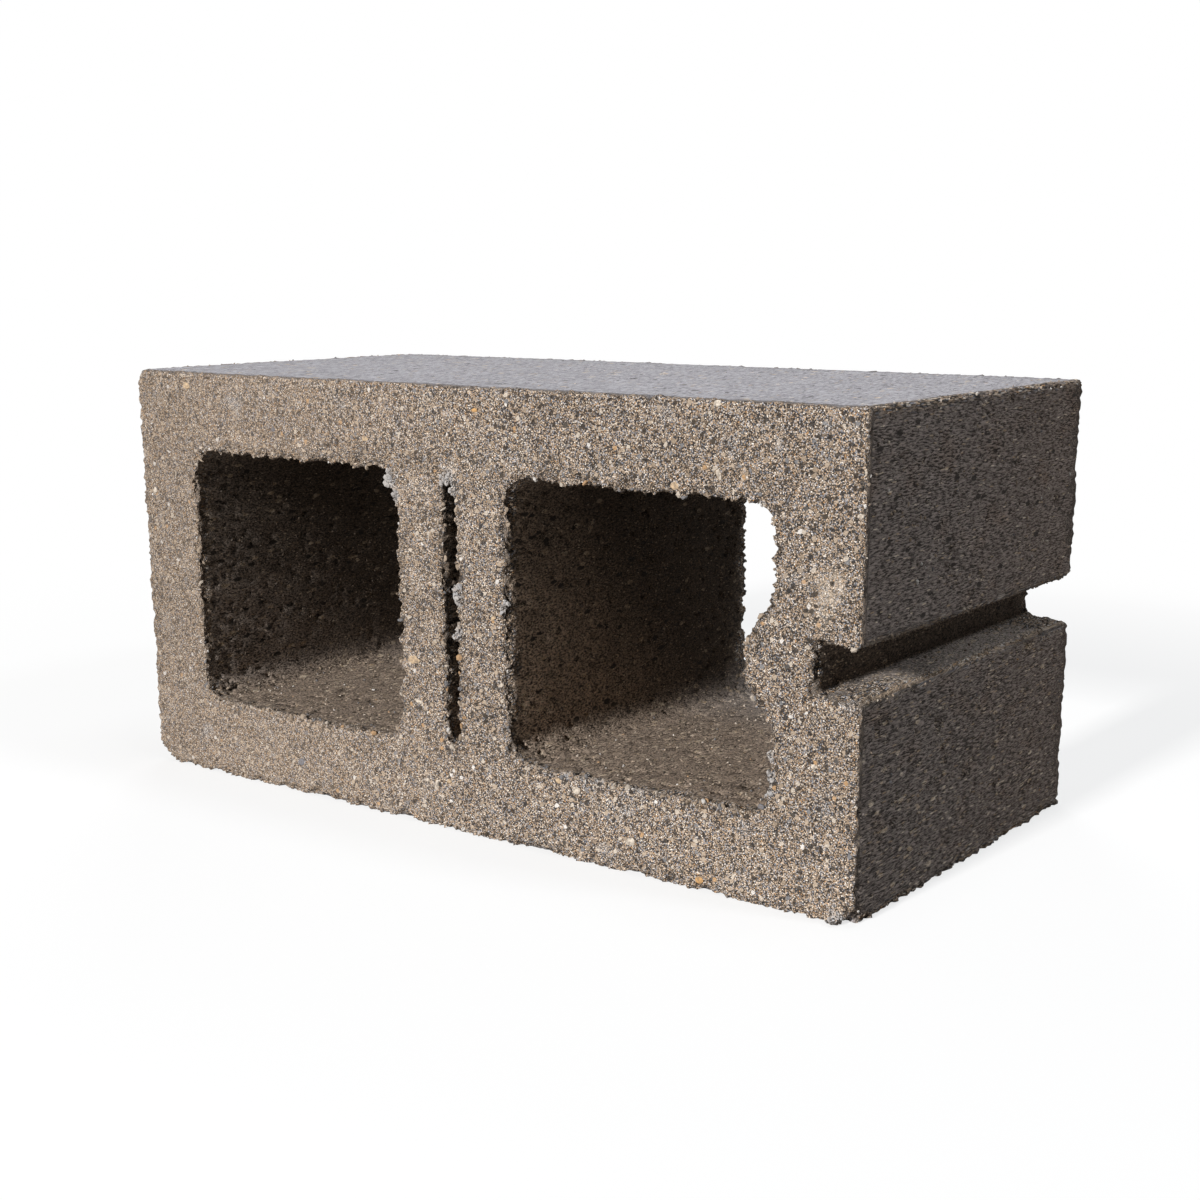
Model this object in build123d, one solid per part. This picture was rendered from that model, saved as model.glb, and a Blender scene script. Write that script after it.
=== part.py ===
from build123d import *
import os

# A hollow concrete masonry block for the side of a window or door opening.
# It lies on one face shell, with its cells level. Millimetres.
# The origin is the middle of the underside, +X runs along the block to the grooved end,
# +Y runs along the cells from the thick-walled bed face to the thin-walled one, and +Z is up.

# Overall size
length = 396.9
wall_thickness = 193.7
course_height = 193.7
mould_corner_radius = 1.5

# Walls at the thick-walled bed face
face_shell = 37.0
end_web = 38.0
centre_web = 62.0
cell_corner_radius = 12.0

# How far every cell wall falls away by the thin-walled bed face
cell_draft = 4.5

# Groove down one end, which takes the edge of a window frame
groove_width = 19.0
groove_depth = 19.5
groove_floor_radius = 2.0
groove_lip_radius = 2.5

# Swelling of the end web into the cell, which keeps the wall behind the groove thick enough
wall_behind_groove = 32.0
straight_beside_swelling = 14.0

# Slot through the centre web, along which the block is split in two
slot_width = 7.5
slot_end_setback = 2.0
slot_draft = 1.5

# Corners that are broken off the thick-walled bed face: their reach along X, Y and Z
worn_lower_corner = (13.0, 35.0, 7.0)
knocked_lower_corner = (9.0, 11.0, 8.0)
rubbed_upper_corner = (5.0, 6.0, 4.5)

# Places that follow from the sizes
mid_height = wall_thickness / 2
front = -course_height / 2
cell_length = (length - 2 * end_web - centre_web) / 2
cell_height = wall_thickness - 2 * face_shell
cell_middle = (centre_web + cell_length) / 2
slot_length = cell_height - 2 * slot_end_setback
swelling_rise = wall_behind_groove + groove_depth - end_web
swelling_span = cell_height - 2 * (cell_corner_radius + straight_beside_swelling)


def bed_plane(along):
    """Upright plane across the cells, at a distance behind the thick-walled bed face."""
    return Plane(origin=(0, front + along, 0), x_dir=(1, 0, 0), z_dir=(0, -1, 0))


def from_mid_height(corner):
    """Distance of a section's corner from the level of the groove."""
    return abs(corner.Y - mid_height)


def outer_section():
    """Outline of the block with its groove, at the thin-walled bed face."""
    with BuildSketch(bed_plane(course_height)) as section:
        with Locations((0, mid_height)):
            RectangleRounded(length, wall_thickness, mould_corner_radius)
        with Locations((length / 2, mid_height)):
            Rectangle(groove_depth, groove_width, align=(Align.MAX, Align.CENTER), mode=Mode.SUBTRACT)
        floor_corners = section.vertices().sort_by(from_mid_height)[:4].sort_by(Axis.X)[:2]
        fillet(floor_corners, groove_floor_radius)
        lip_corners = section.vertices().group_by(Axis.X)[-1].sort_by(from_mid_height)[:2]
        fillet(lip_corners, groove_lip_radius)
    return section.sketch


def plain_cell_outline(along, spread):
    """Outline of the cell at the plain end, widened all round by its spread."""
    with BuildSketch(bed_plane(along)) as outline:
        with Locations((-cell_middle, mid_height)):
            RectangleRounded(
                cell_length + 2 * spread,
                cell_height + 2 * spread,
                cell_corner_radius + spread,
            )
    return outline.sketch


def grooved_cell_outline(along, spread):
    """Outline of the cell at the grooved end, whose end wall swells inwards in three tangent arcs."""
    radius = cell_corner_radius + spread
    left = centre_web / 2 - spread
    right = length / 2 - end_web + spread
    low = face_shell - spread
    high = wall_thickness - face_shell + spread
    below = mid_height - swelling_span / 2
    above = mid_height + swelling_span / 2
    inflection = right - swelling_rise / 2
    with BuildSketch(bed_plane(along)) as outline:
        with BuildLine():
            Line((left + radius, low), (right - radius, low))
            JernArc((right - radius, low), (1, 0), radius, 90)
            Line((right, low + radius), (right, below))
            rising = TangentArc((right, below), (inflection, (below + mid_height) / 2), tangent=(0, 1))
            crest = TangentArc(rising @ 1, (inflection, (above + mid_height) / 2), tangent=rising % 1)
            TangentArc(crest @ 1, (right, above), tangent=crest % 1)
            Line((right, above), (right, high - radius))
            JernArc((right, high - radius), (0, 1), radius, 90)
            Line((right - radius, high), (left + radius, high))
            JernArc((left + radius, high), (-1, 0), radius, 90)
            Line((left, high - radius), (left, low + radius))
            JernArc((left, low + radius), (0, -1), radius, 90)
        make_face()
    return outline.sketch


def slot_outline(along, spread):
    """Outline of the upright slot in the centre web, with round ends."""
    with BuildSketch(bed_plane(along)) as outline:
        with Locations((0, mid_height)):
            SlotOverall(slot_length + 2 * spread, slot_width + 2 * spread, rotation=90)
    return outline.sketch


def tapered_hole(outline, draft):
    """Hole through the block that widens from the thick-walled bed face to the thin-walled one."""
    return loft([outline(0, 0), outline(course_height, draft)], ruled=True)


def break_corner(whole, side, level, reach):
    """Break a corner off the thick-walled bed face, at the side -1 or 1 and the level -1 or 1."""
    reach_x, reach_y, reach_z = reach
    corner = Vector(side * length / 2, front, mid_height + level * wall_thickness / 2)
    broken_face_foot = corner - Vector(side * reach_x, 0, 0)
    inwards = Vector(-side / reach_x, 1 / reach_y, -level / reach_z)
    return split(whole, bisect_by=Plane(origin=broken_face_foot, z_dir=inwards), keep=Keep.TOP)


block = extrude(outer_section(), course_height)
block -= tapered_hole(plain_cell_outline, cell_draft)
block -= tapered_hole(grooved_cell_outline, cell_draft)
block -= tapered_hole(slot_outline, slot_draft)
block = break_corner(block, -1, -1, worn_lower_corner)
block = break_corner(block, 1, -1, knocked_lower_corner)
block = break_corner(block, -1, 1, rubbed_upper_corner)

os.makedirs("parts", exist_ok=True)
export_step(block, "parts/block.step")
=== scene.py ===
import math

import bmesh
import bpy
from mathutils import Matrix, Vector


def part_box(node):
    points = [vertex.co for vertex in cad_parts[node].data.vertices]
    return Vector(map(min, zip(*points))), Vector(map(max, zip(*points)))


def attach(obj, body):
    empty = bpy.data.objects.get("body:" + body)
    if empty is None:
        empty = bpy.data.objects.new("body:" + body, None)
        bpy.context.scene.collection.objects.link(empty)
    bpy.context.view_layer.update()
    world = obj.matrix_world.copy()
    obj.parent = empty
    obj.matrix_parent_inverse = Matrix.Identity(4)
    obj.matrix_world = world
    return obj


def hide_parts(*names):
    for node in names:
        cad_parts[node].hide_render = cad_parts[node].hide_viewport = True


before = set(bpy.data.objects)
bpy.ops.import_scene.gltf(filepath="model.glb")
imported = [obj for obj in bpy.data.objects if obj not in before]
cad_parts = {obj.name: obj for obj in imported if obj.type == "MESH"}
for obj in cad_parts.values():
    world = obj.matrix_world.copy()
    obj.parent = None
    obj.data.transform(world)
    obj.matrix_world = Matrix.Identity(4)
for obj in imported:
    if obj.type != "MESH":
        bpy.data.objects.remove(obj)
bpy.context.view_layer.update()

# Sizes in metres. The block's own box comes from the frame.
mm = 0.001
block_low, block_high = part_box("block")
half_length = block_high.x
half_course = block_high.y
mid_height = block_high.z / 2

# Mesh of the cast surface
weld_distance = 0.01 * mm
voxel = 1.0 * mm
most_triangles = 192_000
arris_angle = math.radians(40)
crease_angle = math.radians(60)

# A place this far below the outside faces counts as in a cell or the slot.
core_depth = 26 * mm

# A place this near the grooved end, and this near mid height, counts as in the groove.
groove_reach = 22 * mm
groove_half_reach = 11 * mm

# Half the groove's width, and the thickness of the wall under the cells
groove_lip = 9.5 * mm
face_shell = 37 * mm

# Sizes of the pattern that the material draws, with what the bed faces add or take off
wrinkle_size = 0.62 * mm
bed_wrinkle_more = 1.1 * mm
sand_size = 0.62 * mm
bed_sand_less = 0.09 * mm
grit_size = 2.2 * mm
grit_roughness = 1.8 * mm

# Marks of the thick-walled bed face, in millimetres along X and Z.
# Crumbly pale paste stands on the rims.
pale_lumps = [
    (-33, 153),
    (-33.5, 149.5),
    (-31.5, 145),
    (-157, 131.5),
    (-155, 134.5),
    (-1, 154),
    (2, 155.5),
    (3, 151),
    (3.5, 107),
    (5, 104.5),
    (3.5, 89),
    (31.5, 103),
    (158.5, 47),
    (159.5, 52),
    (158.5, 60),
    (192, 2.5),
]

# Paste lies pale but flat here.
pale_patches = [
    (-134, 183),
    (-128, 180),
    (-61, 182),
    (-163, 20),
    (-52, 14),
    (62, 37.5),
    (70, 36),
    (79, 37),
    (98, 36),
    (92, 27),
    (83, 8),
    (113, 187),
    (142, 178),
    (161, 178),
    (183, 186),
    (170, 130),
    (186, 46),
    (193, 86),
    (150, 30),
]

# Paste lies warm and cream-coloured here.
cream_patches = [
    (181, 128),
    (185, 124),
    (180, 119),
    (187, 131),
]

# Small pieces are broken out of the rims and arrises here.
front_bites = [
    (-161, 135),
    (-159, 140),
    (-143, 36),
    (-88, 2),
    (-85, 4),
    (-34, 0),
    (-27, 0),
    (-5, 157),
    (-4, 130),
    (-4, 118),
    (-4, 72),
    (-4, 60),
    (6, 115),
    (6, 124),
    (30, 136),
    (30.5, 126),
    (30.5, 116),
    (30.5, 74),
    (46, 35),
    (47, 180),
    (70, 160),
    (92, 160),
    (108, 36),
    (115, 3),
    (132, 160),
    (162, 140),
    (62, 193),
    (88, 192),
    (103, 193),
    (181, 105),
    (181, 90),
    (198, 35),
]

# On the grooved end they are along Y and Z.
end_bites = [
    (-83, 75),
    (-78, 77),
    (-75, 76),
    (-96, 34),
    (-94, 14),
    (-93, 24),
    (-94, 45),
    (-68, 34),
    (-33, 67),
    (-30, 65),
    (-27, 54),
    (-23, 49),
    (-7, 38),
    (-30, 128),
    (-26, 134),
    (25, 26),
    (24, 189),
    (48, 87),
    (52, 82),
    (74, 144),
]

# Stones that show in the thick-walled bed face:
# place along X and Z, length and width in millimetres, turn in degrees, and colour.
tan = (0.50, 0.37, 0.24)
cream = (0.58, 0.51, 0.43)
ochre = (0.52, 0.30, 0.12)
slate = (0.17, 0.17, 0.19)
stones = [
    (-22, 74, 7.5, 4.6, 5, tan),
    (-19.5, 55.5, 6.0, 2.0, -18, cream),
    (-10.5, 19, 6.0, 2.8, 80, cream),
    (-16, 20.5, 2.6, 2.0, 0, cream),
    (-3, 22, 3.0, 2.2, 10, tan),
    (-190, 136, 4.0, 3.0, 80, cream),
    (-163, 187, 5.0, 3.5, 0, tan),
    (-47, 169, 5.0, 3.2, 10, tan),
    (-96, 15, 5.0, 3.8, 0, slate),
    (-105, 170, 3.2, 2.4, 40, slate),
    (16, 184, 3.6, 2.2, 0, ochre),
    (24, 98, 3.0, 2.2, 30, tan),
    (58, 33, 3.2, 3.0, 0, tan),
    (67.5, 30.5, 4.8, 4.4, 0, cream),
    (95, 14, 6.0, 5.2, 10, cream),
    (116, 160, 5.0, 3.4, 0, tan),
    (129, 4.5, 4.6, 3.6, 20, ochre),
    (135, 192, 3.6, 2.6, 0, cream),
    (136, 166, 5.0, 2.2, 110, cream),
    (157, 40, 3.0, 2.2, 0, slate),
    (180, 60, 3.4, 2.4, 20, cream),
    (196, 155, 2.8, 2.0, 0, cream),
]


class Value:
    """A socket that carries a number. Arithmetic on it adds Math nodes to its tree."""

    def __init__(self, nodes, socket):
        self.nodes = nodes
        self.socket = socket

    def math(self, operation, *terms):
        names = dict(enumerate(terms))
        return self.nodes.add("ShaderNodeMath", {"operation": operation}, names)["Value"]

    def __add__(self, other):
        return self.math("ADD", self, other)

    def __radd__(self, other):
        return self.math("ADD", other, self)

    def __sub__(self, other):
        return self.math("SUBTRACT", self, other)

    def __rsub__(self, other):
        return self.math("SUBTRACT", other, self)

    def __mul__(self, other):
        return self.math("MULTIPLY", self, other)

    def __rmul__(self, other):
        return self.math("MULTIPLY", other, self)

    def __truediv__(self, other):
        return self.math("DIVIDE", self, other)

    def __rtruediv__(self, other):
        return self.math("DIVIDE", other, self)

    def __abs__(self):
        return self.math("ABSOLUTE", self)

    def at_least(self, other):
        return self.math("MAXIMUM", self, other)

    def at_most(self, other):
        return self.math("MINIMUM", self, other)

    def above(self, other):
        return self.math("GREATER_THAN", self, other)

    def rise(self, low, high):
        """0 up to low and 1 from high, with a smooth step between; low may be the larger."""
        settings = {"interpolation_type": "SMOOTHSTEP"}
        sockets = {"Value": self, "From Min": low, "From Max": high}
        return self.nodes.add("ShaderNodeMapRange", settings, sockets)["Result"]


class Made:
    """A node that was added, whose outputs are read by name."""

    def __init__(self, nodes, node):
        self.nodes = nodes
        self.node = node

    def __getitem__(self, name):
        return Value(self.nodes, find_socket(self.node.outputs, name))


def find_socket(sockets, name):
    """The socket at a place in the list, or the one in use that has the name."""
    if isinstance(name, int):
        return sockets[name]
    return next(socket for socket in sockets if socket.name == name and socket.enabled)


class Nodes:
    """A node tree of a material or of Geometry Nodes, and the one way nodes are added to it."""

    def __init__(self, tree):
        self.tree = tree

    def add(self, kind, settings=None, sockets=None):
        node = self.tree.nodes.new(kind)
        for name, value in (settings or {}).items():
            if name == "stops":
                self.set_stops(node.color_ramp.elements, value)
            elif name == "ramp":
                node.color_ramp.interpolation = value
            else:
                setattr(node, name, value)
        for name, value in (sockets or {}).items():
            self.feed(find_socket(node.inputs, name), value)
        return Made(self, node)

    def feed(self, socket, value):
        if isinstance(value, Value):
            self.tree.links.new(value.socket, socket)
        else:
            socket.default_value = value

    @staticmethod
    def set_stops(elements, stops):
        while len(elements) < len(stops):
            elements.new(1.0)
        for element, (place, colour) in zip(elements, stops):
            element.position = place
            element.color = (*colour, 1.0)

    def split(self, vector):
        """The X, Y and Z of a vector."""
        parts = self.add("ShaderNodeSeparateXYZ", sockets={"Vector": vector})
        return parts["X"], parts["Y"], parts["Z"]

    def join(self, x, y, z):
        """A vector from its X, Y and Z."""
        return self.add("ShaderNodeCombineXYZ", None, {"X": x, "Y": y, "Z": z})["Vector"]

    def times(self, vector, factor):
        """A vector scaled by a number."""
        sockets = {"Vector": vector, "Scale": factor}
        return self.add("ShaderNodeVectorMath", {"operation": "SCALE"}, sockets)["Vector"]

    def noise(self, place, size, detail=2.0, roughness=0.5):
        """Cloudy noise from 0 to 1, whose lumps are about this size."""
        sockets = {"Vector": place, "Scale": 1 / size, "Detail": detail, "Roughness": roughness}
        return self.add("ShaderNodeTexNoise", None, sockets)["Fac"]

    def cells(self, place, size):
        """Random cells about this far apart, as stones and sand grains lie."""
        return self.add("ShaderNodeTexVoronoi", None, {"Vector": place, "Scale": 1 / size})

    def mix(self, share, first, second, blend="MIX"):
        """A colour between two colours."""
        settings = {"data_type": "RGBA", "blend_type": blend}
        return self.add("ShaderNodeMix", settings, {"Factor": share, "A": first, "B": second})["Result"]

    def ramp(self, share, stops, ramp="LINEAR"):
        """A colour picked from a row of colours."""
        return self.add("ShaderNodeValToRGB", {"ramp": ramp, "stops": stops}, {"Fac": share})["Color"]


def cast_zones(nodes, place):
    """The depth of a place behind the nearer bed face, and the share of it in the cells, slot and groove."""
    x, y, z = nodes.split(place)
    level = abs(z - mid_height)
    in_length = (half_length - core_depth - abs(x)).rise(-2 * mm, 2 * mm)
    in_height = (mid_height - core_depth - level).rise(-2 * mm, 2 * mm)
    in_groove = (groove_half_reach - level).rise(-1 * mm, 1 * mm) * x.above(half_length - groove_reach)
    return half_course - abs(y), (in_length * in_height).at_least(in_groove)


def near_line(x, z, line_x, line_z, reach, core_reach):
    """Share of closeness to a line along Y, from 0 at its reach to 1 within its core reach."""
    beyond = x - line_x
    beside = z - line_z
    return (beyond * beyond + beside * beside).rise(reach**2, core_reach**2)


def open_grain(depth):
    """Share of the open sandy grain of the bed faces at a depth behind them."""
    return depth.rise(2.6 * mm, 1.2 * mm)


def stretched(nodes, place, squeeze):
    """A place squeezed along the cells, so that a pattern on it is stretched there."""
    x, y, z = nodes.split(place)
    return nodes.join(x, y * squeeze, z)


def drawn_out(nodes, place, bed, core):
    """A place for a pattern drawn out as the mould slides, less in the cells and not on the bed faces."""
    return stretched(nodes, place, 0.18 + (0.27 * core).at_least(0.82 * bed))


def torn_spots(nodes, place, depth, core):
    """Shallow torn places and pits of the moulded faces, more of them towards the mouths of the cells."""
    wide = stretched(nodes, place, 0.6)
    in_mouth = core * depth.rise(60 * mm, 4 * mm)
    return (nodes.noise(wide, 3.4 * mm, 3.0, 0.66) + in_mouth * 0.05).rise(0.61, 0.69)


# Materials


def new_material(name):
    """An empty material and its tree."""
    material = bpy.data.materials.new(name)
    material.use_nodes = True
    material.node_tree.nodes.clear()
    return material, Nodes(material.node_tree)


def rough_surface(nodes, colour, roughness, shine, height, bump_strength, bump_depth):
    """A rough surface in a colour, with fine relief from a height."""
    bump = nodes.add(
        "ShaderNodeBump",
        None,
        {"Strength": bump_strength, "Distance": bump_depth, "Height": height},
    )["Normal"]
    return nodes.add(
        "ShaderNodeBsdfPrincipled",
        None,
        {"Base Color": colour, "Roughness": roughness, "Specular IOR Level": shine, "Normal": bump},
    )["BSDF"]


def finish_material(nodes, surface):
    """Close a material with its surface."""
    nodes.add("ShaderNodeOutputMaterial", None, {"Surface": surface})


def object_place(nodes):
    """The place on the object, in its own coordinates."""
    return nodes.add("ShaderNodeTexCoord")["Object"]


# Colours of the sand and grit, with the place in a random draw at which each begins
sand_colours = [
    (0.00, (0.060, 0.055, 0.054)),
    (0.15, (0.230, 0.235, 0.265)),
    (0.25, (0.235, 0.175, 0.128)),
    (0.40, (0.385, 0.290, 0.210)),
    (0.64, (0.455, 0.425, 0.420)),
    (0.74, (0.520, 0.395, 0.290)),
    (0.87, (0.690, 0.590, 0.490)),
    (0.955, (0.830, 0.770, 0.700)),
    (0.98, (0.470, 0.270, 0.130)),
]
grit_colours = [
    (0.00, (0.180, 0.178, 0.185)),
    (0.16, (0.300, 0.235, 0.175)),
    (0.42, (0.400, 0.320, 0.245)),
    (0.70, (0.500, 0.435, 0.365)),
    (0.90, (0.430, 0.270, 0.145)),
    (0.94, (0.640, 0.610, 0.580)),
]

# Paste that lies over the grains of the bed faces
thin_paste = (0.480, 0.425, 0.370, 1)
closed_paste = (0.270, 0.204, 0.150, 1)
cream_paste = (0.700, 0.600, 0.490, 1)
pale_paste = (0.470, 0.462, 0.465, 1)

# Tints of the loose grit and of the single stones
pale_dust = (0.455, 0.445, 0.445, 1)
# Dust and painted shade on the grains of the cells' walls
wall_dust_and_shade = (0.120, 0.090, 0.066, 1)
# Painted shade in the hollows of the grains
grit_hollow_shade = (0.050, 0.040, 0.035, 1)
stone_mottle = (0.120, 0.095, 0.075, 1)

# Dark and pale tones of the paste on the moulded faces, and single colours that lie over it
# The shells' and ends' paste differ by painted light: the shells' is paler and bluer, with a painted cool
# sheen, and the ends' is darker, with painted shade.
shell_paste_with_sheen = ((0.205, 0.195, 0.205, 1), (0.545, 0.530, 0.566, 1))
end_paste_with_shade = ((0.016, 0.013, 0.012, 1), (0.372, 0.317, 0.289, 1))
end_stain = (0.165, 0.100, 0.062, 1)
# Painted shade and light on the cells' walls: dark paste deep inside, pale paste near the mouths.
shaded_wall_paste = ((0.020, 0.015, 0.011, 1), (0.170, 0.132, 0.100, 1))
lit_mouth_paste = ((0.060, 0.046, 0.035, 1), (0.960, 0.760, 0.600, 1))
lit_grey_mouth_paste = ((0.056, 0.051, 0.050, 1), (0.800, 0.725, 0.690, 1))
floor_paste = ((0.085, 0.065, 0.050, 1), (0.510, 0.400, 0.316, 1))
# Painted light: the floors turn paler and greyer towards the back, where light falls in from behind.
backlit_floor_paste = (0.310, 0.290, 0.285, 1)
# Painted shade: the groove's back wall is dark under its upper lip.
shaded_groove_paste = ((0.040, 0.032, 0.026, 1), (0.260, 0.205, 0.162, 1))
ledge_paste = ((0.100, 0.086, 0.077, 1), (0.560, 0.484, 0.432, 1))
# Painted highlight along the groove's rounded lower lip
lip_highlight = (0.600, 0.450, 0.315, 1)
# Painted shade in the torn places
torn_shade = (0.055, 0.042, 0.032, 1)
bare_grains = ((0.460, 0.330, 0.210, 1), (0.820, 0.710, 0.570, 1))
# Painted shade in gaps, crevices, pits and holes
crevice_shade = (0.026, 0.022, 0.019, 1)


def attribute(nodes, name):
    """A share that is stored on the points of the mesh."""
    return nodes.add("ShaderNodeAttribute", {"attribute_name": name})["Fac"]


class CastSurface:
    """What the cast concrete's colours are worked out from: places, shares, wrinkles and random grains."""

    def __init__(self, nodes):
        self.nodes = nodes
        self.place = object_place(nodes)
        self.x, self.y, self.z = nodes.split(self.place)
        self.bed = attribute(nodes, "bed")
        self.sandy = attribute(nodes, "sandy")
        self.core = attribute(nodes, "core")
        self.cloud = attribute(nodes, "cloud")
        self.torn = attribute(nodes, "torn")
        self.draw_grains()
        self.find_zones()

    def draw_grains(self):
        """Hollows of the bed faces and wrinkles of the moulded ones, sand, and grit with rough outlines."""
        nodes = self.nodes
        drawn = drawn_out(nodes, self.place, self.bed, self.core)
        self.wrinkle = nodes.noise(drawn, wrinkle_size + bed_wrinkle_more * self.bed, 2.0, 0.70)
        self.sand = nodes.cells(drawn, sand_size - bed_sand_less * self.bed)
        self.sand_draw = nodes.split(self.sand["Color"])
        half_drawn = stretched(nodes, self.place, 0.45 + 0.55 * self.bed)
        roughened = nodes.add(
            "ShaderNodeVectorMath",
            {"operation": "MULTIPLY_ADD"},
            {0: self.wrinkle - 0.5, 1: (grit_roughness, grit_roughness, grit_roughness), 2: half_drawn},
        )["Vector"]
        self.grit = nodes.cells(roughened, grit_size)
        self.grit_draw = nodes.split(self.grit["Color"])

    def find_zones(self):
        """Shares of the ends, the groove and its ledge, the cells' floors and walls, and of the painted light
        that reaches into the cells from their mouths.
        """
        x, y, z = self.x, self.y, self.z
        self.at_end = abs(x).rise(half_length - 4 * mm, half_length - 2 * mm) * (1 - self.core)
        self.in_groove = x.above(half_length - groove_reach)
        self.on_ledge = (z - mid_height).rise(1.2 * mm - groove_lip, 0.4 * mm - groove_lip)
        on_cell_floor = z.rise(face_shell + 12 * mm, face_shell - 2 * mm)
        self.on_floor = on_cell_floor.at_least(self.in_groove * self.on_ledge)
        self.on_wall = self.core * (1 - self.on_floor)
        self.on_left = x.rise(0.0, -40 * mm)
        # Painted light: the walls count as near the mouth as far as light from the front would reach, deeper
        # low down and less on the left.
        mouth_light_reach = (half_course + y + (z - mid_height) * 0.9).rise(120 * mm, -30 * mm)
        self.in_mouth = mouth_light_reach * (1 - 0.30 * self.on_left)


def bed_colour(cast):
    """Sand and grit, with paste over them that closes them up towards the plain end, and painted shade in the
    gaps between grains and in the hollows of lost grit.
    """
    nodes = cast.nodes
    grit_apart = cast.grit["Distance"]
    grit_shows = cast.grit_draw[1].above(0.90) * grit_apart.rise(0.46, 0.38)
    sand_colour = nodes.ramp(cast.sand_draw[0], sand_colours, "CONSTANT")
    grit_colour = nodes.ramp(cast.grit_draw[0], grit_colours, "CONSTANT")
    colour = nodes.mix(grit_shows, sand_colour, grit_colour)

    closed = cast.x.rise(60 * mm, -145 * mm)
    paste = cast.cloud.rise(0.52, 0.78).at_least(cast.wrinkle.rise(0.56, 0.74) * 0.7)
    colour = nodes.mix(paste * (0.35 + 0.20 * closed), colour, thin_paste)
    colour = nodes.mix(closed * 0.35, colour, closed_paste)
    smeared = attribute(nodes, "cream")
    colour = nodes.mix(smeared * (0.10 + 0.50 * cast.sand_draw[2]), colour, cream_paste)
    pale_share = attribute(nodes, "pale") * (0.30 + 0.70 * cast.sand_draw[2])
    colour = nodes.mix(pale_share, colour, pale_paste)

    # Painted shade: the gaps between sand grains, wider in hollows and torn places, and the hollows of lost
    # grit are darkened.
    sunk = (0.5 - cast.wrinkle) * 0.6 + cast.torn * 0.15
    gaps = (cast.sand["Distance"] + sunk).rise(0.40, 0.70) * (1 - grit_shows) * (1 - smeared * 0.5)
    lost_grit = cast.grit_draw[2].above(0.90 - 0.06 * cast.torn - 0.10 * attribute(nodes, "keen"))
    hollow = lost_grit * grit_apart.rise(0.58, 0.42)
    dark = (gaps * 0.90).at_least(hollow * 0.88) * (1 - 0.25 * closed)
    return nodes.mix(dark, colour, crevice_shade)


def whole_paste(cast):
    """Paste of the moulded faces where it isn't torn: shells, ends, cells and groove in their own tones, with
    painted light and shade: the shells paler and bluer than the ends, the walls pale near the mouths and dark
    deep inside, the floors paler towards the back, the groove's back wall dark and its ledge paler towards
    the back.
    """
    nodes = cast.nodes
    tone = cast.wrinkle.rise(0.40, 0.60) * 0.55 + cast.sand_draw[0] * 0.45
    stain = cast.cloud.rise(0.50, 0.72) * 0.35 + cast.y.rise(-60 * mm, 90 * mm) * 0.20
    # The ends' darker paste is painted shade and the shells' paler, bluer paste is painted light and sheen.
    # The brown stain is the ends' own.
    end_tone = nodes.mix(stain, nodes.mix(tone, *end_paste_with_shade), end_stain)
    outside = nodes.mix(cast.at_end, nodes.mix(tone, *shell_paste_with_sheen), end_tone)

    # Painted light and shade: the walls are pale near the mouths and dark deep inside the cells.
    warm_mouth = nodes.mix(tone, *lit_mouth_paste)
    grey_mouth = nodes.mix(tone, *lit_grey_mouth_paste)
    mouth_tone = nodes.mix(cast.on_left * 0.6, warm_mouth, grey_mouth)
    wall_tone = nodes.mix(cast.in_mouth, nodes.mix(tone, *shaded_wall_paste), mouth_tone)
    # Painted light from the back opening on the far half of the floors
    floor_tone = nodes.mix(cast.y.rise(0.0, 80 * mm) * 0.5, nodes.mix(tone, *floor_paste), backlit_floor_paste)
    cell_tone = nodes.mix(cast.on_floor, wall_tone, floor_tone)

    # Painted light: the ledge turns paler towards the back, where light falls in from behind the block.
    ledge_lit_towards_back = tone * (0.50 + 0.50 * cast.y.rise(-80 * mm, 50 * mm))
    ledge_tone = nodes.mix(ledge_lit_towards_back, *ledge_paste)
    groove_tone = nodes.mix(cast.on_ledge, nodes.mix(tone, *shaded_groove_paste), ledge_tone)
    inside = nodes.mix(cast.in_groove, cell_tone, groove_tone)
    return nodes.mix(cast.core, outside, inside)


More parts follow.
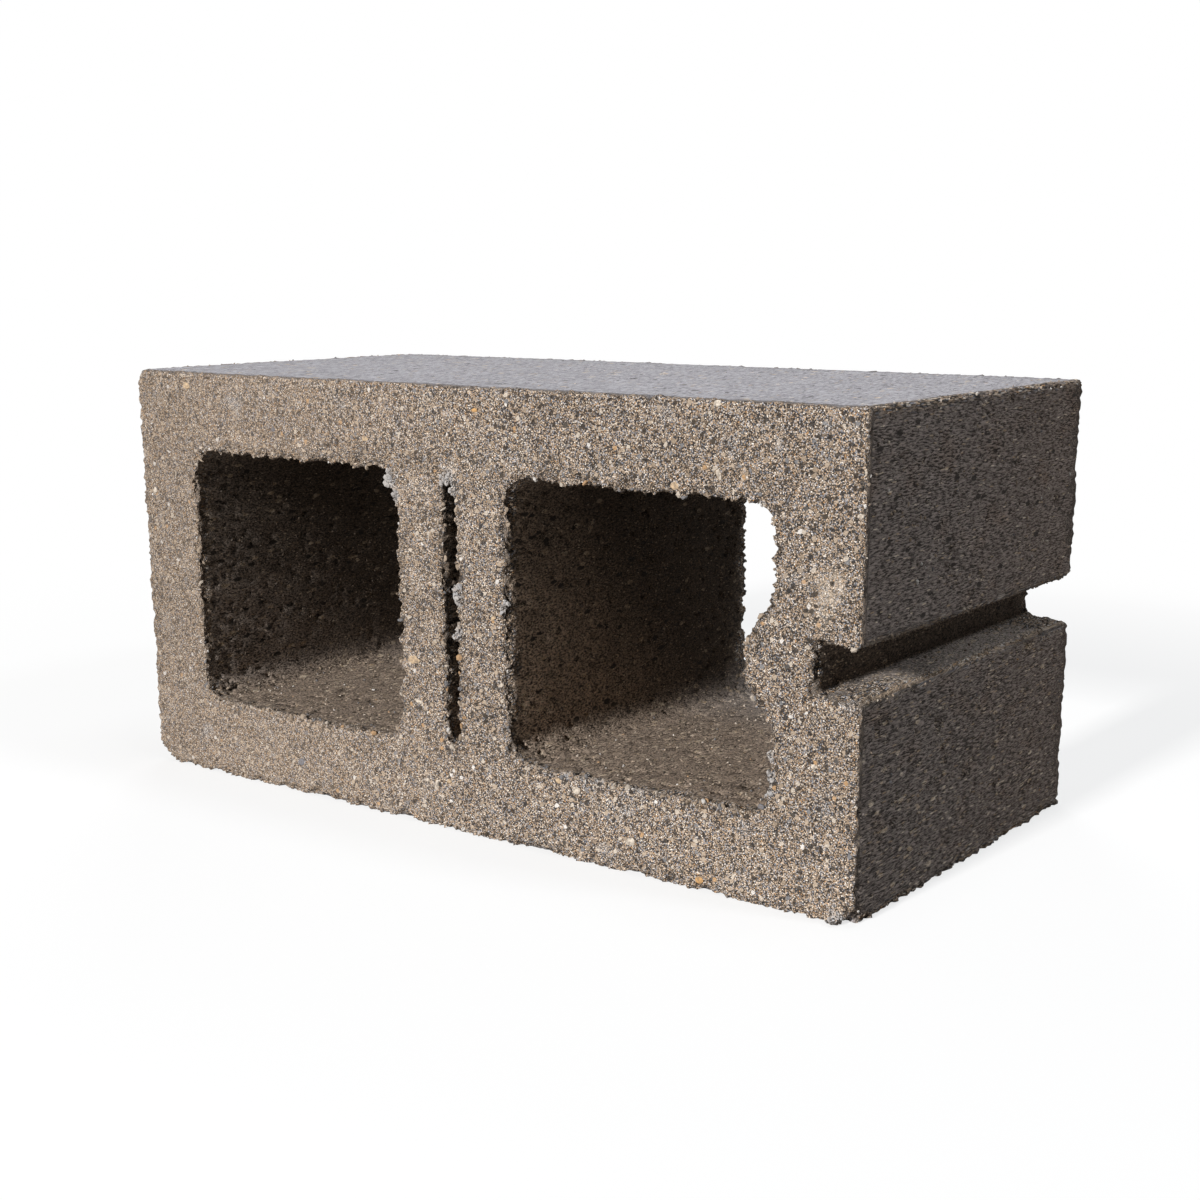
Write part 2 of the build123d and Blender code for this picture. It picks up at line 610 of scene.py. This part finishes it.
def moulded_colour(cast):
    """Paste of the moulded faces, with bare grains, and painted shade in torn places, pits, holes and
    crevices, more of it where it is torn.
    """
    nodes = cast.nodes
    at_end = cast.at_end
    sand_apart = cast.sand["Distance"]
    grit_apart = cast.grit["Distance"]
    # Painted shade in the torn places, less of it on the floors.
    colour = nodes.mix(cast.torn * (0.65 - 0.25 * cast.on_floor), whole_paste(cast), torn_shade)

    # More bare grains show where painted light falls near the mouths.
    bare = (
        cast.torn * 0.16
        + cast.core * 0.03
        + at_end * 0.015
        + cast.on_floor * 0.05
        + cast.on_wall * cast.in_mouth * 0.04
    )
    speck = cast.sand_draw[1].above(0.975 - bare) * sand_apart.rise(0.62, 0.44)
    chunk = cast.grit_draw[2].above(0.993 - bare + at_end * 0.03) * grit_apart.rise(0.50, 0.42)
    # Fewer specks show in the painted shade deep on the walls, and fewer on the ends.
    shown = speck.at_least(chunk) * (1 - 0.50 * cast.on_wall * (1 - cast.in_mouth) - 0.30 * at_end)
    colour = nodes.mix(shown, colour, nodes.mix(cast.sand_draw[0], *bare_grains))

    # Painted shade in pits, holes and furrows
    pit = cast.sand_draw[2].above(0.970 - bare) * sand_apart.rise(0.70, 0.50)
    lost_grit = cast.grit_draw[1].above(0.994 - bare - at_end * 0.02)
    hole = lost_grit * grit_apart.rise(0.58, 0.48) * (1 - cast.on_floor * 0.6)
    open_patch = cast.cloud.rise(0.40, 0.64)
    furrow = (cast.wrinkle - 0.035 * at_end * open_patch).rise(0.440, 0.400)
    crevice = furrow * (0.20 + at_end * (0.25 + 0.55 * open_patch) + 0.45 * cast.core)
    dark = crevice.at_least(pit * 0.85).at_least(hole * 0.92)
    return nodes.mix(dark, colour, crevice_shade)


def broad_shade(cast):
    """Slow changes of tone over the block, as a grey to multiply by: random patches, with painted light low
    down on the bed faces and painted shade towards both ends.
    """
    # Painted light low down on the bed faces, and painted shade towards both ends
    lit_foot = (0.09 + 0.06 * cast.x.rise(40 * mm, 90 * mm)) * cast.z.rise(70 * mm, 10 * mm)
    shaded_ends = 0.06 * cast.x.rise(0.0, 120 * mm).at_least(cast.x.rise(-150 * mm, -180 * mm))
    patchy = (cast.cloud - 0.5) * (0.35 + 0.60 * cast.on_wall)
    shade = patchy + 1.0 + cast.sandy * (lit_foot - shaded_ends - 0.02)
    return cast.nodes.add("ShaderNodeCombineColor", None, {0: shade, 1: shade, 2: shade})["Color"]


def cast_concrete():
    """Open sandy grain on the bed faces, and paste drawn into fine ridges on the moulded faces."""
    material, nodes = new_material("cast_concrete")
    cast = CastSurface(nodes)
    colour = nodes.mix(cast.sandy, moulded_colour(cast), bed_colour(cast))

    # A broken pale line along the groove's lower lip: a painted highlight on its rounded edge, in the tan of
    # bare sand.
    lip_x = half_length - 0.6 * mm
    lip_z = mid_height - groove_lip - 0.6 * mm
    on_lip = near_line(cast.x, cast.z, lip_x, lip_z, 1.3 * mm, 0.5 * mm)
    lip_highlight_share = on_lip * cast.wrinkle.rise(0.42, 0.62) * (0.25 + 0.55 * cast.sand_draw[2])
    colour = nodes.mix(lip_highlight_share, colour, lip_highlight)
    colour = nodes.mix(1.0, colour, broad_shade(cast), "MULTIPLY")

    sand_height = nodes.noise(cast.place, 0.55 * mm, 0.0)
    wrinkle_share = 0.9 - 0.3 * cast.sandy - 0.3 * cast.core
    relief = cast.wrinkle * wrinkle_share + sand_height * (0.15 + 0.65 * cast.sandy)
    surface = rough_surface(
        nodes,
        colour,
        roughness=0.97 - 0.14 * cast.wrinkle * (1 - cast.sandy),
        shine=0.12,
        height=relief,
        bump_strength=1.0,
        bump_depth=0.9 * mm,
    )
    finish_material(nodes, surface)
    return material


def loose_grit():
    """Sand and grit that stands out of the surface, each grain in one colour of its own, darkened by dust and
    painted shade on the cells' walls and by painted shade in its hollows.
    """
    material, nodes = new_material("loose_grit")
    place = object_place(nodes)
    colour = nodes.ramp(attribute(nodes, "tone"), grit_colours, "CONSTANT")
    colour = nodes.mix(attribute(nodes, "pale") * 0.8, colour, pale_dust)
    colour = nodes.mix(attribute(nodes, "dusty") * 0.9, colour, wall_dust_and_shade)
    fine = nodes.noise(place, 0.7 * mm, 3.0, 0.6)
    # Painted shade where the grain's bump is low
    colour = nodes.mix(fine, nodes.mix(0.45, colour, grit_hollow_shade), colour)
    surface = rough_surface(
        nodes,
        colour,
        roughness=0.85 + 0.1 * fine,
        shine=0.3,
        height=fine,
        bump_strength=0.6,
        bump_depth=0.5 * mm,
    )
    finish_material(nodes, surface)
    return material


def set_stone():
    """Worn pebbles, each in its own tint with faint mottling."""
    material, nodes = new_material("set_stone")
    place = object_place(nodes)
    tint = nodes.add("ShaderNodeAttribute", {"attribute_name": "tint"})["Color"]
    mottle = nodes.noise(place, 1.1 * mm, 3.0, 0.65)
    colour = nodes.mix(mottle.rise(0.62, 0.35) * 0.7, tint, stone_mottle)
    surface = rough_surface(
        nodes,
        colour,
        roughness=0.80 + 0.15 * mottle,
        shine=0.3,
        height=mottle,
        bump_strength=0.8,
        bump_depth=0.4 * mm,
    )
    finish_material(nodes, surface)
    return material


# The cast block


def merged_copy(name, source):
    """A copy of a solid's mesh with its loose triangles joined."""
    shape = bmesh.new()
    shape.from_mesh(source.data)
    bmesh.ops.remove_doubles(shape, verts=shape.verts, dist=weld_distance)
    mesh = bpy.data.meshes.new(name)
    shape.to_mesh(mesh)
    shape.free()
    return mesh


def arris_lines(solid_mesh):
    """The sharp edges of the solid as a mesh of lines."""
    shape = bmesh.new()
    shape.from_mesh(solid_mesh)
    soft = [edge for edge in shape.edges if edge.calc_face_angle(0.0) < arris_angle]
    bmesh.ops.delete(shape, geom=soft, context="EDGES")
    mesh = bpy.data.meshes.new("arris_lines")
    shape.to_mesh(mesh)
    shape.free()
    return mesh


def new_object(name, contents):
    """An object in the scene that holds a mesh, a lamp or a lens."""
    thing = bpy.data.objects.new(name, contents)
    bpy.context.scene.collection.objects.link(thing)
    return thing


def new_tree(name, inputs):
    """A Geometry Nodes tree with one geometry in and out, and named inputs."""
    tree = bpy.data.node_groups.new(name, "GeometryNodeTree")
    tree.interface.new_socket("Geometry", in_out="INPUT", socket_type="NodeSocketGeometry")
    for label, kind in inputs.items():
        tree.interface.new_socket(label, in_out="INPUT", socket_type=kind)
    tree.interface.new_socket("Geometry", in_out="OUTPUT", socket_type="NodeSocketGeometry")
    nodes = Nodes(tree)
    return tree, nodes, nodes.add("NodeGroupInput")


def end_tree(nodes, geometry, material):
    """Close a tree with real faces in one material."""
    real = nodes.add("GeometryNodeRealizeInstances", None, {"Geometry": geometry})["Geometry"]
    dressed = nodes.add("GeometryNodeSetMaterial", None, {"Geometry": real, "Material": material})
    nodes.add("NodeGroupOutput", None, {"Geometry": dressed["Geometry"]})


def grow(thing, tree, values):
    """Run a tree on an object and leave the result as its plain mesh."""
    modifier = thing.modifiers.new("shape", "NODES")
    modifier.node_group = tree
    for item in tree.interface.items_tree:
        if item.in_out == "INPUT" and item.name in values:
            modifier[item.identifier] = values[item.name]
    bake_modifiers(thing)


def bake_modifiers(thing):
    """Turn what an object's modifiers make into its plain mesh."""
    graph = bpy.context.evaluated_depsgraph_get()
    result = bpy.data.meshes.new_from_object(thing.evaluated_get(graph), depsgraph=graph)
    thing.modifiers.clear()
    thing.data = result


# Kinds of input that a tree can have
number = "NodeSocketFloat"
whole_number = "NodeSocketInt"
thing_input = "NodeSocketObject"
material_input = "NodeSocketMaterial"


def distance_to(nodes, thing, element):
    """Distance from a place to the edges or the points of another object."""
    shape = nodes.add("GeometryNodeObjectInfo", None, {"Object": thing})["Geometry"]
    return nodes.add("GeometryNodeProximity", {"target_element": element}, {0: shape})["Distance"]


def keep_on_points(nodes, geometry, name, value):
    """Store a number on every point, for a material to read."""
    settings = {"data_type": "FLOAT", "domain": "POINT"}
    sockets = {"Geometry": geometry, "Name": name, "Value": value}
    return nodes.add("GeometryNodeStoreNamedAttribute", settings, sockets)["Geometry"]


def relief_tree():
    """Moves the block's surface as the mould, the dry mix and rough handling leave it."""
    tree, nodes, given = new_tree(
        "cast_relief",
        {
            "Arrises": thing_input,
            "Lumps": thing_input,
            "Patches": thing_input,
            "Cream": thing_input,
            "Bites": thing_input,
            "Material": material_input,
            "Grain height": number,
            "Drag height": number,
            "Torn depth": number,
            "Rim height": number,
            "Rim wear": number,
            "Arris wear": number,
            "Lump height": number,
            "Bite depth": number,
            "Waviness": number,
        },
    )
    place = nodes.add("GeometryNodeInputPosition")["Position"]
    normal = nodes.add("GeometryNodeInputNormal")["Normal"]
    depth, core = cast_zones(nodes, place)
    bed = open_grain(depth)
    moulded = 1 - bed
    x, y, z = nodes.split(place)
    level = abs(z - mid_height)

    # Patterns of the surface
    wave = nodes.noise(place, 45 * mm) - 0.5
    crumb = nodes.noise(place, 2.4 * mm, 2.0, 0.6) - 0.5
    dents = nodes.noise(place, 8 * mm, 2.0) - 0.5
    drag = nodes.noise(drawn_out(nodes, place, bed, core), 3.0 * mm, 2.0, 0.6) - 0.5
    torn = torn_spots(nodes, place, depth, core)
    ragged = nodes.noise(place, 6.5 * mm, 4.0, 0.68) - 0.5
    chips = nodes.noise(place, 15 * mm, 3.0, 0.6).rise(0.50, 0.72)
    fray = nodes.noise(place, 5 * mm, 3.0, 0.6)
    cloud = nodes.noise(place, 12 * mm, 3.0, 0.6)

    # Single marks, most of them with frayed outlines, and the corner that is knocked off
    lump = distance_to(nodes, given["Lumps"], "POINTS").rise(4.5 * mm, 1.5 * mm)
    patch = (distance_to(nodes, given["Patches"], "POINTS") + fray * (22 * mm)).rise(16.0 * mm, 10.0 * mm)
    cream = (distance_to(nodes, given["Cream"], "POINTS") + fray * (18 * mm)).rise(16.0 * mm, 9.0 * mm)
    bite = (distance_to(nodes, given["Bites"], "POINTS") + fray * (4 * mm)).rise(5.2 * mm, 2.8 * mm)
    knocked = (half_length, -half_course, 0.0)
    from_knock = nodes.add("ShaderNodeVectorMath", {"operation": "DISTANCE"}, {0: place, 1: knocked})["Value"]
    rubble = from_knock.rise(20 * mm, 8 * mm)

    # Rims, lips and arrises
    near = distance_to(nodes, given["Arrises"], "EDGES")
    at_mouth = near.rise(7 * mm, 0.5 * mm) * core
    at_lip = near.rise(5 * mm, 0.0) * core
    at_arris = near.rise(4 * mm, 0.0) * (1 - core)
    on_lip = near_line(x, level, half_length, groove_lip, 3.2 * mm, 1.0 * mm)
    on_corner = near_line(abs(x), level, half_length, mid_height, 4.0 * mm, 1.0 * mm)
    low_down = z.rise(12 * mm, 0.0)

    # The rims stand firmer at the slot, on the far left and down at the cells' floors.
    at_slot = abs(x).rise(14 * mm, 9 * mm)
    far_left = x.rise(-half_length + 46 * mm, -half_length + 36 * mm)
    at_cell_floor = z.rise(face_shell + 22 * mm, face_shell + 8 * mm)
    firm = at_slot.at_least(far_left).at_least(at_cell_floor)

    # How far the surface moves out
    rim = (
        at_mouth * (1 - 0.65 * firm)
        + at_arris * (0.2 + 0.4 * low_down)
        + rubble * 0.5
        + on_corner * (0.12 + 0.30 * low_down)
    )
    lift = (
        given["Waviness"] * (wave + bed * dents)
        + given["Grain height"] * (bed + at_arris * (1.5 + 3.0 * low_down) + at_lip * 3.5) * crumb
        + given["Grain height"] * (on_lip + on_corner * (1.0 + 2.0 * low_down)) * crumb
        + given["Drag height"] * moulded * drag * (1 - 0.4 * core)
        - given["Torn depth"] * torn * moulded * (0.8 + core * 0.5)
        + given["Rim height"] * rim * ragged
        - given["Rim wear"] * at_lip * (0.35 + chips) * (1 - 0.85 * firm)
        - given["Arris wear"] * at_arris * (0.15 + chips * (0.5 + 1.4 * low_down))
        + given["Lump height"] * lump * (0.8 + 1.6 * crumb)
        - given["Bite depth"] * bite * (0.7 + 1.2 * crumb)
    )

    # Shares that the material reads. Bare sand shows on worn edges, and reaches into mouths and groove.
    worn_edge = near.rise(3.4 * mm, 1.0 * mm).at_least(on_corner) * (fray + chips).rise(0.42, 0.56)
    worn_lip = on_lip * (fray + chips).rise(0.28, 0.42)
    in_groove = x.above(half_length - groove_reach)
    on_ledge = in_groove * (z - mid_height).rise(1.5 * mm - groove_lip, -groove_lip)
    into_mouths = core * (cloud - 0.3) * (22 * mm + on_ledge * (150 * mm))
    shares = {
        "bed": bed,
        "sandy": open_grain(depth - into_mouths).at_least(worn_edge).at_least(worn_lip).at_least(lump),
        "core": core,
        "cloud": cloud,
        "torn": torn.at_least(bite),
        "pale": lump.at_least(patch * 0.6),
        "cream": cream,
        "keen": near.rise(4.2 * mm, 3.2 * mm) * y.rise(14 * mm - half_course, 10 * mm - half_course),
    }
    marked = given["Geometry"]
    for name, share in shares.items():
        marked = keep_on_points(nodes, marked, name, share)
    moved = nodes.add(
        "GeometryNodeSetPosition",
        None,
        {"Geometry": marked, "Offset": nodes.times(normal, lift)},
    )["Geometry"]

    # Nothing of the moved surface reaches below the level that the block rests on.
    resting = nodes.join(x, y, z.at_least(block_low.z))
    rested = nodes.add("GeometryNodeSetPosition", None, {"Geometry": moved, "Position": resting})["Geometry"]
    end_tree(nodes, rested, given["Material"])
    return tree


def thin_out(thing, triangles):
    """Collapse the least telling edges away from the keen rims until this many triangles are left."""
    thing.data.calc_loop_triangles()
    keen = [0.0] * len(thing.data.vertices)
    thing.data.attributes["keen"].data.foreach_get("value", keen)
    free = thing.vertex_groups.new(name="free")
    free.add([point for point, share in enumerate(keen) if share < 0.5], 1.0, "REPLACE")
    collapse = thing.modifiers.new("collapse", "DECIMATE")
    collapse.ratio = triangles / len(thing.data.loop_triangles)
    collapse.use_collapse_triangulate = True
    collapse.vertex_group = free.name
    bake_modifiers(thing)
    thing.vertex_groups.clear()


def cast_block(solid_mesh, marks, material):
    """The block with its real surface: even cells of mesh, moved by the relief, then thinned."""
    block = new_object("cast_block", solid_mesh)
    remesh = block.modifiers.new("even", "REMESH")
    remesh.mode = "VOXEL"
    remesh.voxel_size = voxel
    grow(
        block,
        relief_tree(),
        {
            **marks,
            "Material": material,
            "Grain height": 1.5 * mm,
            "Drag height": 0.7 * mm,
            "Torn depth": 1.0 * mm,
            "Rim height": 11.0 * mm,
            "Rim wear": 2.6 * mm,
            "Arris wear": 1.8 * mm,
            "Lump height": 2.4 * mm,
            "Bite depth": 2.4 * mm,
            "Waviness": 0.9 * mm,
        },
    )
    thin_out(block, most_triangles)
    block.data.polygons.foreach_set("use_smooth", [True] * len(block.data.polygons))
    block.data.set_sharp_from_angle(angle=crease_angle)
    return block


# Loose grains and single stones


def random_draw(nodes, low, high, seed):
    """A random number or vector between two, drawn anew for every point."""
    kind = "FLOAT_VECTOR" if isinstance(low, tuple) else "FLOAT"
    sockets = {"Min": low, "Max": high, "Seed": seed}
    return nodes.add("FunctionNodeRandomValue", {"data_type": kind}, sockets)["Value"]


def grit_tree():
    """Scatters single grains over the block, most thickly on the mouths' rims and the pale lumps."""
    tree, nodes, given = new_tree(
        "standing_grit",
        {
            "Block": thing_input,
            "Arrises": thing_input,
            "Lumps": thing_input,
            "Material": material_input,
            "Bed grains per square metre": number,
            "Rim grains per square metre": number,
            "Lump grains per square metre": number,
            "Lip grains per square metre": number,
            "Cell grains per square metre": number,
            "Smallest grain": number,
            "Largest grain": number,
            "Seed": whole_number,
        },
    )
    block = nodes.add("GeometryNodeObjectInfo", None, {"Object": given["Block"]})["Geometry"]
    place = nodes.add("GeometryNodeInputPosition")["Position"]
    x, _, z = nodes.split(place)
    level = abs(z - mid_height)
    depth, core = cast_zones(nodes, place)

    # Bed faces, rims, pale lumps, lips and arrises
    near = distance_to(nodes, given["Arrises"], "EDGES")
    near_lump = distance_to(nodes, given["Lumps"], "POINTS")
    on_rim = near.rise(3.2 * mm, 1.0 * mm) * core
    on_bed = near.rise(3.0 * mm, 5.0 * mm) * open_grain(depth)
    on_lump = near_lump.rise(5.0 * mm, 3.0 * mm)
    off_ground = z.above(2 * mm)
    on_lip = near_line(x, level, half_length, groove_lip, 3.0 * mm, 1.5 * mm)
    on_corner = near_line(abs(x), level, half_length, mid_height, 3.5 * mm, 1.5 * mm) * off_ground
    on_arris = near.rise(2.2 * mm, 1.0 * mm) * (1 - core) * off_ground

    # Clusters in the cells, apart from the feet of their walls, and on the grooved end
    clusters = nodes.noise(place, 14 * mm, 3.0, 0.65).rise(0.42, 0.68)
    above_floor = z.rise(face_shell + 1 * mm, face_shell + 3 * mm)
    at_foot = above_floor * z.rise(face_shell + 20 * mm, face_shell + 14 * mm)
    towards_mouths = 0.3 + 0.7 * depth.rise(120 * mm, 10 * mm)
    in_cells = core * depth.rise(3 * mm, 6 * mm) * towards_mouths * (1 - at_foot)
    on_grooved_end = (x - half_length).rise(-3 * mm, -1 * mm) * 0.4
    on_moulded = in_cells.at_least(on_grooved_end) * clusters
    density = (
        given["Bed grains per square metre"] * on_bed
        + given["Rim grains per square metre"] * on_rim
        + given["Lump grains per square metre"] * on_lump
        + given["Lip grains per square metre"] * on_lip.at_least(on_arris * 0.15).at_least(on_corner * 0.4)
        + given["Cell grains per square metre"] * on_moulded
    )
    spread = nodes.add(
        "GeometryNodeDistributePointsOnFaces",
        None,
        {"Mesh": block, "Density": density, "Seed": given["Seed"]},
    )
    points = keep_on_points(nodes, spread["Points"], "pale", on_lump)
    # Grains on the cells' walls take dust and painted shade in their material.
    on_walls = core * depth.rise(2 * mm, 6 * mm) * z.rise(face_shell + 3 * mm, face_shell + 12 * mm)
    points = keep_on_points(nodes, points, "dusty", on_walls)

    # Each grain is a squashed ball in its own turn, size and tone.
    ball = nodes.add("GeometryNodeMeshIcoSphere", None, {"Radius": 1.0, "Subdivisions": 1})["Mesh"]
    turn = random_draw(nodes, (0.0, 0.0, 0.0), (math.tau, math.tau, math.tau), seed=1)
    draw = random_draw(nodes, 0.0, 1.0, seed=2)
    span = given["Largest grain"] - given["Smallest grain"]
    size = given["Smallest grain"] + span * draw * draw * (on_rim + on_lump * 0.4 + 0.3).at_most(1.0)
    squash = random_draw(nodes, (0.40, 0.25, 0.18), (0.75, 0.55, 0.45), seed=3)
    grains = nodes.add(
        "GeometryNodeInstanceOnPoints",
        None,
        {"Points": points, "Instance": ball, "Rotation": turn, "Scale": nodes.times(squash, size)},
    )["Instances"]
    tone = random_draw(nodes, 0.0, 1.0, seed=4)
    toned = nodes.add(
        "GeometryNodeStoreNamedAttribute",
        {"data_type": "FLOAT", "domain": "INSTANCE"},
        {"Geometry": grains, "Name": "tone", "Value": tone},
    )["Geometry"]
    end_tree(nodes, toned, given["Material"])
    return tree


def marks_on(name, places):
    """Loose points that stand for marks on the block."""
    mesh = bpy.data.meshes.new(name)
    mesh.from_pydata(places, [], [])
    return new_object(name, mesh)


def on_front(places):
    """Points on the thick-walled bed face, from places along X and Z."""
    return [(x * mm, -half_course, z * mm) for x, z in places]


def on_end(places):
    """Points on the grooved end, from places along Y and Z."""
    return [(half_length, y * mm, z * mm) for y, z in places]


def standing_grit(block, marks, material):
    """The loose grains that stand on the cast block."""
    grit = new_object("standing_grit", bpy.data.meshes.new("standing_grit"))
    grow(
        grit,
        grit_tree(),
        {
            "Block": block,
            "Arrises": marks["Arrises"],
            "Lumps": marks["Lumps"],
            "Material": material,
            "Bed grains per square metre": 4_000.0,
            "Rim grains per square metre": 110_000.0,
            "Lump grains per square metre": 160_000.0,
            "Lip grains per square metre": 70_000.0,
            "Cell grains per square metre": 45_000.0,
            "Smallest grain": 1.1 * mm,
            "Largest grain": 3.2 * mm,
            "Seed": 11,
        },
    )
    return grit


def stone_tree():
    """Sets a rough pebble at every point, in the point's own size and turn."""
    tree, nodes, given = new_tree("set_stones", {"Material": material_input, "Dent depth": number})
    own = {"data_type": "FLOAT_VECTOR"}
    size = nodes.add("GeometryNodeInputNamedAttribute", own, {"Name": "size"})["Attribute"]
    turn = nodes.add("GeometryNodeInputNamedAttribute", own, {"Name": "turn"})["Attribute"]
    ball = nodes.add("GeometryNodeMeshIcoSphere", None, {"Radius": 0.5, "Subdivisions": 2})["Mesh"]
    pebbles = nodes.add(
        "GeometryNodeInstanceOnPoints",
        None,
        {"Points": given["Geometry"], "Instance": ball, "Rotation": turn, "Scale": size},
    )["Instances"]
    real = nodes.add("GeometryNodeRealizeInstances", None, {"Geometry": pebbles})["Geometry"]
    place = nodes.add("GeometryNodeInputPosition")["Position"]
    normal = nodes.add("GeometryNodeInputNormal")["Normal"]
    dent = given["Dent depth"] * (nodes.noise(place, 2.2 * mm, 2.0, 0.6) - 0.5)
    rough = nodes.add(
        "GeometryNodeSetPosition",
        None,
        {"Geometry": real, "Offset": nodes.times(normal, dent)},
    )["Geometry"]
    end_tree(nodes, rough, given["Material"])
    return tree


def set_stones(material):
    """The larger stones of the thick-walled bed face, sunk most of the way into it."""
    thickness = 2.0 * mm
    depth = 0.45 * mm
    places = [(x * mm, depth - half_course, z * mm) for x, z, *_ in stones]
    pebbles = marks_on("set_stones", places)
    layers = pebbles.data.attributes
    for name, kind in (("size", "FLOAT_VECTOR"), ("turn", "FLOAT_VECTOR"), ("tint", "FLOAT_COLOR")):
        layers.new(name, kind, "POINT")
    for point, (_, _, long, wide, turn, colour) in enumerate(stones):
        layers["size"].data[point].vector = (long * mm, thickness, wide * mm)
        layers["turn"].data[point].vector = (0.0, -math.radians(turn), 0.0)
        layers["tint"].data[point].color = (*colour, 1.0)
    grow(pebbles, stone_tree(), {"Material": material, "Dent depth": 1.2 * mm})
    return pebbles


# Floor, lights and camera


def seen_directly(nodes):
    """1 for what the camera sees, straight or in a shine, and 0 for light that bounces on."""
    path = nodes.add("ShaderNodeLightPath")
    return path["Is Camera Ray"].at_least(path["Is Glossy Ray"]).at_least(path["Is Transmission Ray"])


def white_floor():
    """A wide white floor that takes the block's shadow and throws little light back at it."""
    reach = 6.0
    glow_near = 0.72
    mesh = bpy.data.meshes.new("floor")
    corners = [(-reach, -reach, 0), (reach, -reach, 0), (reach, reach, 0), (-reach, reach, 0)]
    mesh.from_pydata(corners, [], [(0, 1, 2, 3)])
    floor = new_object("floor", mesh)
    material, nodes = new_material("white_floor")
    from_block = nodes.add("ShaderNodeVectorMath", {"operation": "LENGTH"}, {0: object_place(nodes)})["Value"]
    glow = glow_near + (1 - glow_near) * from_block.rise(0.30, 0.75)
    white = nodes.add("ShaderNodeEmission", None, {"Color": (1, 1, 1, 1), "Strength": 1.0})["Emission"]
    lit = nodes.add("ShaderNodeBsdfDiffuse", None, {"Color": (0.9, 0.9, 0.9, 1)})["BSDF"]
    shadowed = nodes.add("ShaderNodeMixShader", None, {"Fac": glow, 1: lit, 2: white})["Shader"]
    dull = nodes.add("ShaderNodeBsdfDiffuse", None, {"Color": (0.25, 0.235, 0.22, 1)})["BSDF"]
    sockets = {"Fac": seen_directly(nodes), 1: dull, 2: shadowed}
    surface = nodes.add("ShaderNodeMixShader", None, sockets)["Shader"]
    finish_material(nodes, surface)
    mesh.materials.append(material)
    return floor


def soft_light(name, watts, width, place, colour):
    """A square light that points at the middle of the block."""
    lamp = bpy.data.lights.new(name, "AREA")
    lamp.energy = watts
    lamp.shape = "SQUARE"
    lamp.size = width
    lamp.color = colour
    light = new_object(name, lamp)
    light.location = place
    middle = Vector((0, 0, mid_height))
    light.rotation_euler = (middle - Vector(place)).to_track_quat("-Z", "Y").to_euler()


def studio():
    """White surroundings that hardly light the block, and four soft lights that do."""
    world = bpy.data.worlds.new("studio")
    bpy.context.scene.world = world
    world.use_nodes = True
    world.node_tree.nodes.clear()
    nodes = Nodes(world.node_tree)
    white = nodes.add("ShaderNodeBackground", None, {"Color": (1, 1, 1, 1), "Strength": 1.0})["Background"]
    warm_fill = {"Color": (1.0, 0.97, 0.94, 1), "Strength": 0.03}
    fill = nodes.add("ShaderNodeBackground", None, warm_fill)["Background"]
    sockets = {"Fac": seen_directly(nodes), 1: fill, 2: white}
    sky = nodes.add("ShaderNodeMixShader", None, sockets)["Shader"]
    nodes.add("ShaderNodeOutputWorld", None, {"Surface": sky})
    soft_light("front_light", watts=490, width=0.4, place=(-0.05, -5.2, 2.06), colour=(1.0, 0.985, 0.965))
    soft_light("top_light", watts=9.9, width=0.7, place=(0.30, 0.05, 2.0), colour=(0.90, 0.95, 1.0))
    soft_light("side_light", watts=14, width=0.3, place=(1.65, 0.25, 1.75), colour=(0.92, 0.96, 1.0))
    soft_light("back_light", watts=14, width=0.9, place=(-1.3, 1.5, 1.2), colour=(1.0, 1.0, 1.0))


def photo_camera():
    """The camera that was fitted to the block's corners in the photograph."""
    lens = bpy.data.cameras.new("camera")
    lens.lens = 52.08
    lens.sensor_width = 36
    lens.shift_x = -0.0233
    lens.shift_y = 0.0686
    lens.clip_start = 0.01
    camera = new_object("camera", lens)
    camera.location = (0.4912, -0.6395, 0.2404)
    looking = Vector((-0.5746, 0.7850, -0.2316))
    camera.rotation_euler = looking.to_track_quat("-Z", "Y").to_euler()
    bpy.context.scene.camera = camera


solid_mesh = merged_copy("cast_block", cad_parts["block"])
marks = {
    "Arrises": new_object("arris_lines", arris_lines(solid_mesh)),
    "Lumps": marks_on("lumps", on_front(pale_lumps)),
    "Patches": marks_on("patches", on_front(pale_patches)),
    "Cream": marks_on("cream", on_front(cream_patches)),
    "Bites": marks_on("bites", on_front(front_bites) + on_end(end_bites)),
}
block = cast_block(solid_mesh, marks, cast_concrete())
grit = standing_grit(block, marks, loose_grit())
pebbles = set_stones(set_stone())
for mark in marks.values():
    bpy.data.objects.remove(mark)

for piece in (block, grit, pebbles):
    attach(piece, "root")
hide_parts("block")

white_floor()
studio()
photo_camera()
bpy.context.scene.view_settings.view_transform = "Standard"
